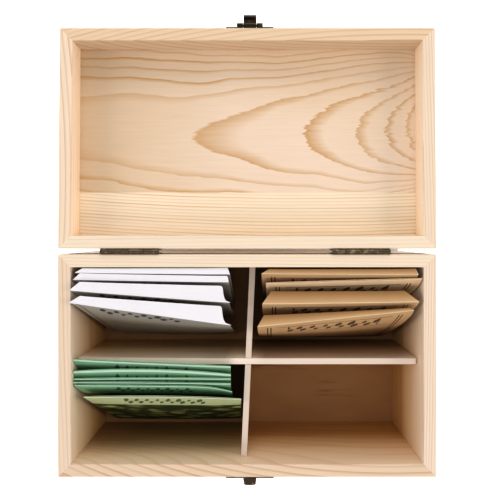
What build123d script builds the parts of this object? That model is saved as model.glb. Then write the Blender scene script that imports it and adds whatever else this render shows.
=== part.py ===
from build123d import *
from collections import namedtuple
from math import cos, radians, sin, tan
import os

# Garden seed organizer box: a mitred pine box with a hinged lid, a cross of two
# half-lapped dividers, a swinging hasp and three stacks of paper seed packets.
# Frame: millimetres, origin at the middle of the underside of the base, +X along
# the box to the right, +Y towards the hinges and +Z up.  The lid lies open.

# ---------------------------------------------------------------- driving sizes

# Base and lid, both mitred trays of the same strip wood
box_length = 272.0
box_width = 160.0
base_height = 84.0
lid_height = 22.0
wall = 9.4
outer_easing = 0.6          # chamfer along the outer long edges of a wall
rim_easing = 0.35           # chamfer along the inner edge of the rim
corner_easing = 0.9         # flat planed on each upright outer corner
rabbet_depth = 4.7          # how far a panel reaches into the walls
bottom_thickness = 5.5
lid_panel_thickness = 5.6
hinge_board_width = 37.5    # the narrower board of the lid panel, at the hinges
lid_droop = 1.1             # degrees that the open lid sags past level

# Dividers, half-lapped: the long one drops over the short one
divider_thickness = 4.4
divider_height = 66.0
divider_end_gap = 0.15
divider_end_radius = 2.5
lap_clearance = 0.25
short_divider_x = 0.5
short_divider_skew = 2.6    # degrees that the short divider stands out of square

# Hinges: the pins run level with the rim, midway between the two back faces
hinge_gap = 3.94            # between the back faces when the lid is open
hinge_length = 42.0
hinge_inset = 53.0          # from each end of the box to the middle of a hinge
hinge_shift = -1.4          # both hinges sit this far off the middle
knuckle_count = 4
knuckle_radius = 1.62
knuckle_gap = 0.2
hinge_pin_radius = 0.72
pin_end_chamfer = 0.15
pin_clearance = 0.05        # radial, in every knuckle
leaf_thickness = 0.8
leaf_width = 12.5
leaf_corner_radius = 1.2
leaf_nail_spacing = 26.0
leaf_nail_depth = 7.6       # from the rim

# Hasp on the lid, catch with a hooked nose on the base
latch_x = 1.8
latch_plate_length = 34.4
latch_plate_width = 14.0
latch_plate_thickness = 0.7
latch_plate_setback = 0.6   # from the rim
latch_plate_radius = 3.0
latch_nail_spacing = 26.0
latch_nail_depth = 9.6
barrel_length = 18.7
barrel_radius = 1.8
barrel_depth = 1.9          # pin axis, away from the rim
barrel_wall_gap = 0.35      # between the barrel and the lid
hasp_pin_radius = 0.75
tongue_width = 9.4
tongue_thickness = 0.9
tongue_side_gap = 0.25
tongue_swing = 94.0         # degrees between hanging and latched
tongue_bend_radius = 0.7
tongue_shoulder = 0.95      # from the rim down to the bend above the nose
tongue_grip = 1.65          # past the middle of the nose, where the crook starts
crook_reach = 1.45          # inwards and down, under the nose
lip_reach = 2.1             # outwards again to the lip
lip_length = 2.15
nose_root_width = 10.1
nose_end_width = 8.4
nose_reach = 8.0
nose_top = 2.4              # below the rim, at the plate
nose_slope = 1.8            # how far the nose falls to its end
nose_end_height = 1.5
nose_root_height = 6.2
nose_gusset_reach = 2.7     # the root thickens this close to the plate
nose_end_bow = 0.85
tongue_nose_gap = 0.55      # between the latched tongue and the nose

# Nails: one size for hinges and latch
nail_head_radius = 1.4
nail_head_height = 0.5
nail_crown_radius = 0.4
nail_radius = 0.6
nail_length = 6.5
nail_clearance = 0.05

# Seed packets: folded paper, thin at the seams and swollen near the foot
packet_seam = 1.0
packet_foot_thickness = 1.6
belly_height_share = 0.34
paper_thickness = 0.7
wall_gap = 0.4              # between the leftmost packets and the wall beside them
kraft_wall_gap = 3.8        # the same on the right
flap_droop = 10.0           # degrees below level
flap_left_taper = 5.5       # the ends of a flap slope inwards
flap_right_taper = 3.0
white_end_room = 12.9       # how much shorter a packet is than its compartment
kraft_end_room = 12.0
green_end_room = 10.1
packet_top_gap = 0.5        # from the top of a white or kraft packet up to the rim
green_top_gap = 3.5
white_stack_depth = 37.4    # the leaning stack leaves the rest of the depth for its lean
kraft_stack_depth = 38.9
foot_narrowing = 6.0        # the filled foot is narrower than the top

# ---------------------------------------------------------------- derived places

inner_length = box_length - 2 * wall
inner_width = box_width - 2 * wall
half_inner_x = inner_length / 2
half_inner_y = inner_width / 2
hinge_spacing = box_length - 2 * hinge_inset
floor_top = bottom_thickness
pin_out = hinge_gap / 2
pin_y = box_width / 2 + pin_out
barrel_out = barrel_radius + barrel_wall_gap
half_divider = divider_thickness / 2
compartment_length = half_inner_x - half_divider
compartment_depth = half_inner_y - half_divider
compartment_height = base_height - floor_top

UP = Vector(0, 0, 1)


def shifted(plane, x=0.0, y=0.0, z=0.0):
    """The same plane with its origin moved along its own axes."""
    return Plane(origin=plane.from_local_coords((x, y, z)), x_dir=plane.x_dir, z_dir=plane.z_dir)


# A tray frame has its origin in the middle of the tray's underside.
base_frame = Plane.XY
pin_frame = Plane(
    origin=(0, pin_y, base_height),
    x_dir=(1, 0, 0),
    z_dir=(0, sin(radians(lid_droop)), cos(radians(lid_droop))),
)
lid_frame = shifted(pin_frame, y=pin_out + box_width / 2, z=-lid_height)

os.makedirs("parts", exist_ok=True)


def save(piece, name):
    """Label a finished piece and write it as one STEP file."""
    piece.part.label = name
    export_step(piece.part, f"parts/{name}.step")


# ---------------------------------------------------------------- nails

def face_frame(tray, height, x, outward):
    """Plane on a tray's outer face: origin on the rim, x along, y down, z out."""
    reach = box_width / 2 * outward
    rim = tray.from_local_coords((x, reach, height))
    return Plane(origin=rim, x_dir=tray.x_dir * outward, z_dir=tray.y_dir * outward)


def nail_points(spacing, depth):
    """A pair of nails beside each other, at one depth below the rim."""
    return [(-spacing / 2, depth), (spacing / 2, depth)]


def cut_nail_holes(face, points, depth):
    """Holes from a face inwards, in the part that is being built."""
    with BuildSketch(face) as holes:
        with Locations(*points):
            Circle(nail_radius + nail_clearance)
    extrude(holes.sketch, amount=-depth, mode=Mode.SUBTRACT)


def nails(face_list, points, plate_thickness):
    """Round-headed nails, their heads seated on a plate and their shanks in the wall."""
    with BuildPart() as group:
        for face in face_list:
            seat = shifted(face, z=plate_thickness)
            with BuildSketch(seat):
                with Locations(*points):
                    Circle(nail_head_radius)
            extrude(amount=nail_head_height)
            crowns = group.edges(Select.LAST).group_by(Axis(seat.origin, seat.z_dir))[-1]
            fillet(crowns, nail_crown_radius)
            with BuildSketch(seat):
                with Locations(*points):
                    Circle(nail_radius)
            extrude(amount=-nail_length)
    return group


# Faces that carry hardware
hinge_places = {
    "left": hinge_shift - hinge_spacing / 2,
    "right": hinge_shift + hinge_spacing / 2,
}
base_hinge_faces = {
    side: face_frame(base_frame, base_height, x, 1) for side, x in hinge_places.items()
}
lid_hinge_faces = {
    side: face_frame(lid_frame, lid_height, x, -1) for side, x in hinge_places.items()
}
catch_face = face_frame(base_frame, base_height, latch_x, -1)
hasp_face = face_frame(lid_frame, lid_height, latch_x, 1)
leaf_nails = nail_points(leaf_nail_spacing, leaf_nail_depth)
latch_nails = nail_points(latch_nail_spacing, latch_nail_depth)
pilot_depth = nail_length + nail_clearance


# ---------------------------------------------------------------- trays

def mitred_wall(tray, side, height, rabbet_height):
    """A rabbeted strip with eased edges, cut at 45 degrees at both ends."""
    inward = {
        "front": tray.y_dir, "back": -tray.y_dir, "left": tray.x_dir, "right": -tray.x_dir,
    }[side]
    along = inward.cross(tray.z_dir)
    across_box = side in ("left", "right")
    length = box_width if across_box else box_length
    reach = (box_length if across_box else box_width) / 2
    foot = tray.origin - inward * reach
    with BuildPart() as strip:
        with BuildSketch(Plane(origin=foot, x_dir=inward, z_dir=along)):
            with BuildLine():
                Polyline(
                    (outer_easing, 0),
                    (wall - rabbet_depth, 0),
                    (wall - rabbet_depth, rabbet_height),
                    (wall, rabbet_height),
                    (wall, height - rim_easing),
                    (wall - rim_easing, height),
                    (outer_easing, height),
                    (0, height - outer_easing),
                    (0, outer_easing),
                    close=True,
                )
            make_face()
        extrude(amount=length / 2, both=True)
        for end in (along, -along):
            corner = foot + end * (length / 2)
            split(bisect_by=Plane(origin=corner, z_dir=end + inward), keep=Keep.BOTTOM)
            planed = corner + inward * corner_easing
            split(bisect_by=Plane(origin=planed, z_dir=end - inward), keep=Keep.BOTTOM)
    return strip


def drilled_wall(strip, faces, points, plate_thickness):
    """A wall with pilot holes for the hardware that is nailed to it."""
    with BuildPart() as drilled:
        add(strip.part)
        for face in faces:
            cut_nail_holes(face, points, pilot_depth - plate_thickness)
    return drilled


# The hinges are nailed to the backs of both trays, the latch to their fronts
bare = ([], [], 0)
base_hardware = {
    "back": (base_hinge_faces.values(), leaf_nails, leaf_thickness),
    "front": ([catch_face], latch_nails, latch_plate_thickness),
}
lid_hardware = {
    "back": (lid_hinge_faces.values(), leaf_nails, leaf_thickness),
    "front": ([hasp_face], latch_nails, latch_plate_thickness),
}
# Lid walls are named as they lie with the lid closed, so its front is now farthest back
lid_sides = {"front": "back", "back": "front", "left": "left", "right": "right"}
for side, open_side in lid_sides.items():
    strip = mitred_wall(base_frame, side, base_height, bottom_thickness)
    save(drilled_wall(strip, *base_hardware.get(side, bare)), f"base_{side}_wall")
    strip = mitred_wall(lid_frame, open_side, lid_height, lid_panel_thickness)
    save(drilled_wall(strip, *lid_hardware.get(side, bare)), f"lid_{side}_wall")

# Panels, let into the rabbets flush with the outside
panel_length = inner_length + 2 * rabbet_depth
panel_width = inner_width + 2 * rabbet_depth

with BuildPart() as bottom_panel:
    with BuildSketch(base_frame):
        Rectangle(panel_length, panel_width)
    extrude(amount=bottom_thickness)
save(bottom_panel, "base_bottom_panel")

# The lid panel is two boards glued edge to edge
front_board_width = panel_width - hinge_board_width
lid_boards = {
    "lid_panel_hinge_board": (-(panel_width - hinge_board_width) / 2, hinge_board_width),
    "lid_panel_front_board": ((panel_width - front_board_width) / 2, front_board_width),
}
for name, (middle, width) in lid_boards.items():
    with BuildPart() as board:
        with BuildSketch(lid_frame):
            with Locations((0, middle)):
                Rectangle(panel_length, width)
        extrude(amount=lid_panel_thickness)
    save(board, name)

# ---------------------------------------------------------------- dividers

lap_height = divider_height / 2
skew = radians(short_divider_skew)
slot_width = divider_thickness / cos(skew) + divider_thickness * tan(skew) + lap_clearance

with BuildPart() as long_divider:
    with BuildSketch(Plane.XZ.offset(-half_divider)):
        with Locations((0, floor_top + divider_height / 2)):
            Rectangle(inner_length - 2 * divider_end_gap, divider_height)
        with Locations((short_divider_x, floor_top + lap_height / 2)):
            Rectangle(slot_width, lap_height + lap_clearance, mode=Mode.SUBTRACT)
    extrude(amount=divider_thickness)
    top_corners = long_divider.edges().filter_by(Axis.Y).group_by(Axis.Z)[-1]
    fillet(top_corners, divider_end_radius)
save(long_divider, "long_divider")

short_length = (inner_width - 2 * divider_end_gap - divider_thickness * sin(skew)) / cos(skew)
short_frame = Plane(
    origin=(short_divider_x, 0, floor_top),
    x_dir=(sin(skew), cos(skew), 0),
    z_dir=(cos(skew), -sin(skew), 0),
)
with BuildPart() as short_divider:
    with BuildSketch(shifted(short_frame, z=-half_divider)):
        with Locations((0, divider_height / 2)):
            Rectangle(short_length, divider_height)
        with Locations((0, divider_height - lap_height / 2)):
            Rectangle(slot_width, lap_height, mode=Mode.SUBTRACT)
    extrude(amount=divider_thickness)
save(short_divider, "short_divider")

# ---------------------------------------------------------------- hinges

knuckle_pitch = hinge_length / knuckle_count
strap_reach = knuckle_radius + 2 * knuckle_gap    # the plate stays clear of the other knuckles


def knuckle_places(first):
    """Every second knuckle along the hinge, from the first one given."""
    half = hinge_length / 2
    return [
        (index + 0.5) * knuckle_pitch - half for index in range(first, knuckle_count, 2)
    ]


def hinge_leaf(face, places):
    """A flat plate with knuckles rolled round the pin."""
    with BuildPart() as leaf:
        with BuildSketch(face) as plate:
            with Locations((0, (strap_reach + leaf_width) / 2)):
                Rectangle(hinge_length, leaf_width - strap_reach)
            fillet(plate.vertices().group_by(Axis.Y)[-1], leaf_corner_radius)
        extrude(amount=leaf_thickness)
        for place in places:
            start = shifted(face, x=place)
            with BuildSketch(Plane(origin=start.origin, x_dir=face.y_dir, z_dir=face.x_dir)):
                with Locations((0, pin_out)):
                    Circle(knuckle_radius)
                with Locations(((strap_reach + knuckle_gap) / 2, leaf_thickness / 2)):
                    Rectangle(strap_reach + knuckle_gap, leaf_thickness)
                with Locations((0, pin_out)):
                    Circle(hinge_pin_radius + pin_clearance, mode=Mode.SUBTRACT)
            extrude(amount=(knuckle_pitch - knuckle_gap) / 2, both=True)
        cut_nail_holes(shifted(face, z=leaf_thickness), leaf_nails, leaf_thickness)
    return leaf


for side in hinge_places:
    save(hinge_leaf(base_hinge_faces[side], knuckle_places(1)), f"{side}_hinge_base_leaf")
    lid_places = [-place for place in knuckle_places(0)]
    save(hinge_leaf(lid_hinge_faces[side], lid_places), f"{side}_hinge_lid_leaf")
    with BuildPart() as hinge_pin:
        pin_start = shifted(base_hinge_faces[side], x=-hinge_length / 2, z=pin_out)
        with BuildSketch(Plane(origin=pin_start.origin, z_dir=pin_start.x_dir)):
            Circle(hinge_pin_radius)
        extrude(amount=hinge_length)
        chamfer(hinge_pin.edges().filter_by(GeomType.CIRCLE), pin_end_chamfer)
    save(hinge_pin, f"{side}_hinge_pin")

save(nails(list(base_hinge_faces.values()), leaf_nails, leaf_thickness), "base_hinge_nails")
save(nails(list(lid_hinge_faces.values()), leaf_nails, leaf_thickness), "lid_hinge_nails")

# ---------------------------------------------------------------- hasp and catch

notch_width = tongue_width + 2 * tongue_side_gap
notch_depth = barrel_depth + barrel_radius + barrel_wall_gap
cheek_length = (barrel_length - notch_width) / 2
plate_middle = latch_plate_setback + latch_plate_width / 2


def draw_plate(sketch):
    """Draw a latch plate in a sketch, with round corners away from the rim."""
    with Locations((0, plate_middle)):
        Rectangle(latch_plate_length, latch_plate_width)
    fillet(sketch.vertices().group_by(Axis.Y)[-1], latch_plate_radius)


barrel_frame = shifted(hasp_face, y=barrel_depth, z=barrel_out)

with BuildPart() as hasp_plate:
    with BuildSketch(hasp_face) as outline:
        draw_plate(outline)
        with Locations((0, notch_depth / 2)):
            Rectangle(notch_width, notch_depth, mode=Mode.SUBTRACT)
    extrude(amount=latch_plate_thickness)
    for cheek in (-1, 1):
        middle = shifted(hasp_face, x=cheek * (notch_width + cheek_length) / 2)
        with BuildSketch(Plane(origin=middle.origin, x_dir=hasp_face.y_dir, z_dir=hasp_face.x_dir)):
            with Locations((barrel_depth, barrel_out)):
                Circle(barrel_radius)
            with Locations((barrel_depth + barrel_radius / 2, barrel_out / 2)):
                Rectangle(barrel_radius, barrel_out)
            with Locations((barrel_depth, barrel_out)):
                Circle(hasp_pin_radius + pin_clearance, mode=Mode.SUBTRACT)
        extrude(amount=cheek_length / 2, both=True)
    cut_nail_holes(shifted(hasp_face, z=latch_plate_thickness), latch_nails, latch_plate_thickness)
save(hasp_plate, "hasp_plate")

with BuildPart() as hasp_pin:
    with BuildSketch(Plane(origin=barrel_frame.origin, z_dir=hasp_face.x_dir)):
        Circle(hasp_pin_radius)
    extrude(amount=barrel_length / 2, both=True)
    chamfer(hasp_pin.edges().filter_by(GeomType.CIRCLE), pin_end_chamfer)
save(hasp_pin, "hasp_pin")

# The tongue is drawn as it lies when latched, out from the box and back from the
# rim, on a plane at the pin that is turned by its swing: so it hangs from its pin.
swing = radians(tongue_swing)
hanging = Plane(
    origin=barrel_frame.origin,
    x_dir=hasp_face.z_dir * cos(swing) + hasp_face.y_dir * sin(swing),
    z_dir=-hasp_face.x_dir,
)
front_out = nose_reach + tongue_nose_gap + tongue_thickness / 2 - barrel_out
nose_middle = nose_top + nose_slope + nose_end_height / 2
web_back = -(barrel_depth + tongue_shoulder)
hook_back = -(barrel_depth + nose_middle + tongue_grip)
crook_out = front_out - crook_reach
crook_back = hook_back - crook_reach
root_out = (barrel_radius + hasp_pin_radius) / 2
tongue_path = [
    (root_out, 0),
    (root_out + tongue_thickness, web_back),
    (front_out, -(barrel_depth + nose_top)),
    (front_out, hook_back),
    (crook_out, crook_back),
    (crook_out + lip_reach, crook_back - lip_length),
]
with BuildPart() as hasp_tongue:
    with BuildSketch(hanging):
        with BuildLine():
            FilletPolyline(*tongue_path, radius=tongue_bend_radius)
        trace(line_width=tongue_thickness)
        Circle(barrel_radius)
        Circle(hasp_pin_radius + pin_clearance, mode=Mode.SUBTRACT)
    extrude(amount=tongue_width / 2, both=True)
save(hasp_tongue, "hasp_tongue")

with BuildPart() as catch_plate:
    side_view = Plane(origin=catch_face.origin, x_dir=catch_face.z_dir, z_dir=-catch_face.x_dir)
    with BuildSketch(side_view):
        with BuildLine():
            tip_out = nose_reach - nose_end_height / 2
            tip_top = nose_top + nose_slope
            tip_bottom = tip_top + nose_end_height
            top = Line((0, nose_top), (tip_out, tip_top))
            tip = ThreePointArc(
                top @ 1, (nose_reach, tip_top + nose_end_height / 2), (tip_out, tip_bottom)
            )
            under = Line(tip @ 1, (nose_gusset_reach, tip_bottom + nose_end_height / 2))
            Polyline(under @ 1, (0, nose_top + nose_root_height), top @ 0)
        make_face()
    extrude(amount=nose_root_width / 2, both=True)
    plan_view = Plane(origin=catch_face.origin, x_dir=catch_face.x_dir, z_dir=-catch_face.y_dir)
    with BuildSketch(plan_view):
        with BuildLine():
            half_root = nose_root_width / 2
            half_end = nose_end_width / 2
            shoulder = nose_reach - nose_end_bow
            end = ThreePointArc((half_end, shoulder), (0, nose_reach), (-half_end, shoulder))
            Polyline(end @ 1, (-half_root, 0), (half_root, 0), end @ 0)
        make_face()
    extrude(amount=latch_plate_width, both=True, mode=Mode.INTERSECT)
    with BuildSketch(catch_face) as outline:
        draw_plate(outline)
    extrude(amount=latch_plate_thickness)
    cut_nail_holes(shifted(catch_face, z=latch_plate_thickness), latch_nails, latch_plate_thickness)
save(catch_plate, "catch_plate")

save(nails([hasp_face], latch_nails, latch_plate_thickness), "hasp_nails")
save(nails([catch_face], latch_nails, latch_plate_thickness), "catch_nails")

# ---------------------------------------------------------------- seed packets

# A packet stands on the floor and leans back.  Its top line is given by its middle
# (x, y), its height above the floor and its turn; its foot lies square to the box.
# A flap that stands open is given by how far it reaches back at its left and right.
Packet = namedtuple("Packet", "name width x y height turn setback belly flap")
sealed = (0.0, 0.0)

white_width = compartment_length - white_end_room
kraft_width = compartment_length - kraft_end_room
green_width = compartment_length - green_end_room
white_height = kraft_height = compartment_height - packet_top_gap
green_height = compartment_height - green_top_gap
white_setback = compartment_depth - white_stack_depth
kraft_setback = compartment_depth - kraft_stack_depth
white_x = -half_inner_x + wall_gap + white_width / 2
kraft_x = half_inner_x - kraft_wall_gap - kraft_width / 2
green_x = -half_inner_x + wall_gap + green_width / 2
rear = half_inner_y
fore = -half_divider        # the long divider's front face

packets = [
    Packet(
        "white_packet_1", white_width, white_x + 2.4, rear - 4.6,
        height=white_height, turn=-0.6, setback=white_setback, belly=2.2, flap=(2.6, 3.4),
    ),
    Packet(
        "white_packet_2", white_width, white_x + 1.6, rear - 7.7,
        height=white_height + 0.6, turn=-0.8, setback=white_setback, belly=2.2, flap=sealed,
    ),
    Packet(
        "white_packet_3", white_width, white_x, rear - 20.1,
        height=white_height + 4.4, turn=-4.4, setback=white_setback, belly=5.0, flap=(6.0, 11.0),
    ),
    Packet(
        "white_packet_4", white_width, white_x + 0.2, rear - 33.4,
        height=white_height + 5.4, turn=-7.6, setback=white_setback, belly=5.0, flap=(6.0, 12.0),
    ),
    Packet(
        "kraft_packet_1", kraft_width, kraft_x - 0.4, rear - 5.4,
        height=kraft_height + 1.4, turn=-0.7, setback=kraft_setback, belly=3.4, flap=(2.8, 3.6),
    ),
    Packet(
        "kraft_packet_2", kraft_width, kraft_x + 2.6, rear - 10.6,
        height=kraft_height, turn=1.6, setback=kraft_setback, belly=3.4, flap=sealed,
    ),
    Packet(
        "kraft_packet_3", kraft_width, kraft_x, rear - 25.8,
        height=kraft_height + 1.8, turn=1.3, setback=kraft_setback, belly=5.0, flap=(8.4, 7.5),
    ),
    Packet(
        "kraft_packet_4", kraft_width, kraft_x - 3.4, rear - 36.0,
        height=kraft_height + 2.4, turn=6.0, setback=kraft_setback, belly=5.0, flap=(7.0, 1.5),
    ),
]
# The green packets lean on the long divider in a fan.  Each is placed by how far its
# foot stands from the front wall and how far it passes from the divider's top edge.
green_stack = [
    # x, from the wall, from the divider, turn and belly
    (0.0, 32.8, 2.16, -1.0, 2.8),
    (0.0, 26.7, 8.26, -1.3, 3.2),
    (0.0, 22.4, 12.56, 0.2, 2.8),
    (0.0, 18.8, 16.16, -0.2, 2.3),
    (1.0, 15.0, 19.96, -1.6, 2.3),
    (7.6, 2.9, 27.22, -0.7, 5.0),
]
for count, (x, from_wall, from_divider, turn, belly) in enumerate(green_stack, 1):
    foot = from_wall - half_inner_y
    lean = (fore - from_divider - foot) / divider_height
    setback = lean * green_height
    packets.append(
        Packet(
            f"green_packet_{count}", green_width, green_x + x, foot + setback,
            height=green_height, turn=turn, setback=setback, belly=belly, flap=sealed,
        )
    )


def packet_section(packet, share, width, thickness):
    """A level slice through a packet, at a share of its height."""
    height = floor_top + share * packet.height
    back = packet.y - (1 - share) * packet.setback
    with BuildSketch(Plane.XY.offset(height)) as section:
        with Locations((packet.x, back)):
            Rectangle(width, thickness, rotation=packet.turn * share)
    return section.sketch


def seed_packet(packet):
    """Front and back of one packet in one closed form, with its flap if it stands open."""
    narrow = packet.width - foot_narrowing
    belly_width = narrow + foot_narrowing * belly_height_share
    with BuildPart() as body:
        foot = packet_section(packet, 0, narrow, packet_foot_thickness)
        belly = packet_section(packet, belly_height_share, belly_width, packet.belly)
        top = packet_section(packet, 1, packet.width, packet_seam)
        loft([foot, belly, top], ruled=True)
        if packet.flap != sealed:
            turn = radians(packet.turn)
            droop = radians(flap_droop)
            fold = Vector(cos(turn), sin(turn), 0)
            back = Vector(-sin(turn), cos(turn), 0) * cos(droop) - UP * sin(droop)
            ridge = Vector(packet.x, packet.y, floor_top + packet.height)
            with BuildSketch(Plane(origin=ridge, x_dir=fold, z_dir=fold.cross(back))):
                with BuildLine():
                    half = packet.width / 2
                    left, right = packet.flap
                    Polyline(
                        (-half, -packet_seam / 2),
                        (half, -packet_seam / 2),
                        (half - min(flap_right_taper, right), right),
                        (min(flap_left_taper, left) - half, left),
                        close=True,
                    )
                make_face()
            extrude(amount=-paper_thickness)
    return body


for packet in packets:
    save(seed_packet(packet), packet.name)
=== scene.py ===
# %% [markdown]
# # A seed box, laid open on a pale floor
#
# The object is a mitred pine box with a hinged lid, two crossed dividers, a small
# bronzed latch and three stacks of paper seed packets.  Everything could be modelled
# anew in Blender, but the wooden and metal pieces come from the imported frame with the
# right shape already, so here they only get their finish.  The packets are paper, and
# a solid block never looks like paper, so each one is folded here from a flat blank.

import math
from dataclasses import dataclass

import bpy
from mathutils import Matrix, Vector


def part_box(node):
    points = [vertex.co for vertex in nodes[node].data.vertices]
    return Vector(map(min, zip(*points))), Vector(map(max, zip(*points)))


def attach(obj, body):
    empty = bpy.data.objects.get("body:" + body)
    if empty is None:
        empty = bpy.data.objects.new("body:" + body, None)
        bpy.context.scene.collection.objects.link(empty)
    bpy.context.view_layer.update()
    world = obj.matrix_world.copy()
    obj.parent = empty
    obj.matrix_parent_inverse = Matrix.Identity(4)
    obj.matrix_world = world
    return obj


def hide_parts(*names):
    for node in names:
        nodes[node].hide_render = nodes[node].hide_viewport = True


MM = 0.001

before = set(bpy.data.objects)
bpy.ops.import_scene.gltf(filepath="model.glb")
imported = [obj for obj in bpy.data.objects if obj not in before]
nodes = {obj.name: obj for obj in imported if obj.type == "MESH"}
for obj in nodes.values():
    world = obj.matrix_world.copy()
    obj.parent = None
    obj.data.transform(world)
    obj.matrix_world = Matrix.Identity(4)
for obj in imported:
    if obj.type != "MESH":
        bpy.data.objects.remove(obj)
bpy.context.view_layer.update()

# %% [markdown]
# ## Where the pieces are
#
# The camera, the painted shade inside the box and the packets all need to know where
# the walls stand.  The numbers could be typed in, but then they would be wrong as soon
# as the box changed, so they are read from the frame.  The rim is the top of the base.

# %% Measures of the frame
base_low, base_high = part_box("base_front_wall")
rim_height = base_high.z
front_length = base_high.x - base_low.x
floor_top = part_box("base_bottom_panel")[1].z
wall = base_high.y - base_low.y
base_back_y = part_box("base_back_wall")[1].y
lid_near_y, lid_far_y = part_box("lid_back_wall")[0].y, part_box("lid_front_wall")[1].y
lid_middle_y, lid_reach_y = (lid_near_y + lid_far_y) / 2, (lid_far_y - lid_near_y) / 2
lid_panel_end_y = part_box("lid_panel_front_board")[1].y
print(f"rim at {rim_height / MM:.1f} mm")
print(f"front wall {front_length / MM:.1f} mm long, walls {wall / MM:.1f} mm thick")

# %% [markdown]
# ## The camera
#
# The photograph looks straight down from about 340 mm above the rim: the walls lean
# outwards by as much as such a near camera makes them.  A camera could be turned and
# moved until the picture fits, but height and lens would then be mixed up.  Here the
# height was worked out first, from how far the walls' feet move in, and the lens
# followed.  A new camera already looks down with +Y up, so it isn't turned.  Its lens
# lies to the right of and above the middle of the box, and a small shift brings the
# frame back to where the photograph has it.

# %% Camera
EYE_HEIGHT = 341.0 * MM         # above the rim
EYE_X, EYE_Y = 7.38 * MM, 93.1 * MM
SENSOR = 36.0
FOCAL_SHARE = 475.7 / 500       # focal length in picture widths
SHIFT_X, SHIFT_Y = -0.015, -0.028

bpy.ops.object.camera_add(location=(EYE_X, EYE_Y, rim_height + EYE_HEIGHT), rotation=(0, 0, 0))
camera = bpy.context.object
camera.name = "overhead_camera"
camera.data.sensor_width = SENSOR
camera.data.lens = FOCAL_SHARE * SENSOR
camera.data.shift_x, camera.data.shift_y = SHIFT_X, SHIFT_Y
camera.data.clip_start = 0.01
bpy.context.scene.camera = camera
print("lens", round(camera.data.lens, 2), "mm")

# %% [markdown]
# ## Floor and light
#
# The box was photographed on white, and the picture has hard contrast: rims and paper
# are nearly white, the deep compartments nearly black and richly orange.  One strong
# lamp would give contrast too, but with hard shadows that the photograph hasn't.  Three
# things make it here.  Four soft boxes stand low all round, so their light reaches the
# rims and the shallow lid but not the floors of the compartments.  The picture is shown
# without a film curve and with a gamma below 1.  And the inner faces of the box get
# painted shade, darker and warmer towards the floor.

# %% Helpers for objects


def start_clean():
    """Nothing is selected, so that the next operator acts on its own piece alone."""
    if bpy.context.object and bpy.context.object.mode != "OBJECT":
        bpy.ops.object.mode_set(mode="OBJECT")
    bpy.ops.object.select_all(action="DESELECT")


def soft_light(name, size, power, place, aim):
    """A square area light at a place, turned towards a point."""
    bpy.ops.object.light_add(type="AREA", location=place)
    light = bpy.context.object
    light.name = name
    light.data.size = size
    light.data.energy = power
    light.rotation_euler = (Vector(aim) - Vector(place)).to_track_quat("-Z", "Y").to_euler()


print("helpers for objects ready")

# %% Floor, lights and world
start_clean()
FLOOR_MIDDLE_Y = 0.08
bpy.ops.mesh.primitive_plane_add(size=4, location=(0, FLOOR_MIDDLE_Y, 0))
floor = bpy.context.object
floor.name = "pale_floor"

AIM = Vector((0, 0.08, 0.07))
LIGHT_DISTANCE, SOFTBOX_SIZE, ROOM_LIGHT = 1.6, 0.6, 0.78
softboxes = {
    # name: (compass angle from the hinge side, height angle, power)
    "rear_softbox": (0, 25, 8.4),
    "right_softbox": (90, 25, 8.6),
    "front_softbox": (180, 40, 5.6),
    "left_softbox": (270, 25, 7.0),
}
for name, (compass, elevation, power) in softboxes.items():
    compass, elevation = math.radians(compass), math.radians(elevation)
    level = math.cos(elevation) * LIGHT_DISTANCE
    height = math.sin(elevation) * LIGHT_DISTANCE
    place = AIM + Vector((math.sin(compass) * level, math.cos(compass) * level, height))
    soft_light(name, SOFTBOX_SIZE, power, place, AIM)

world = bpy.data.worlds.new("pale_room")
bpy.context.scene.world = world
world.use_nodes = True
world.node_tree.nodes["Background"].inputs["Color"].default_value = (1, 1, 1, 1)
world.node_tree.nodes["Background"].inputs["Strength"].default_value = ROOM_LIGHT

TONE = 0.7                      # gamma of the picture
bpy.context.scene.view_settings.view_transform = "Standard"
bpy.context.scene.view_settings.gamma = TONE

# %% [markdown]
# ## Writing materials
#
# A material is a small network of nodes.  It could be wired by hand in the shader
# editor.  In code a helper keeps the wiring short: each call adds one node, connects
# what it is given and hands back the output, so that a finish reads like a recipe.
# Colours are given as they look in full light, 0 to 255, and turned into the share of
# the light that the material sends back: the contrast of the picture is taken out, and
# so is its brightness.

# %% Colours
FULL_LIGHT = 1.25               # how much brighter a surface shows than its own share


def colour(red, green, blue):
    """A colour as it looks in full light, 0 to 255, as the material's share of linear light."""
    def linear(level):
        share = (level / 255) ** TONE
        light = share / 12.92 if share <= 0.04045 else ((share + 0.055) / 1.055) ** 2.4
        return light / FULL_LIGHT
    return (linear(red), linear(green), linear(blue), 1.0)


print("mid grey sends back", round(colour(128, 128, 128)[0], 3), "of the light")

# %% Recipe


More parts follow.
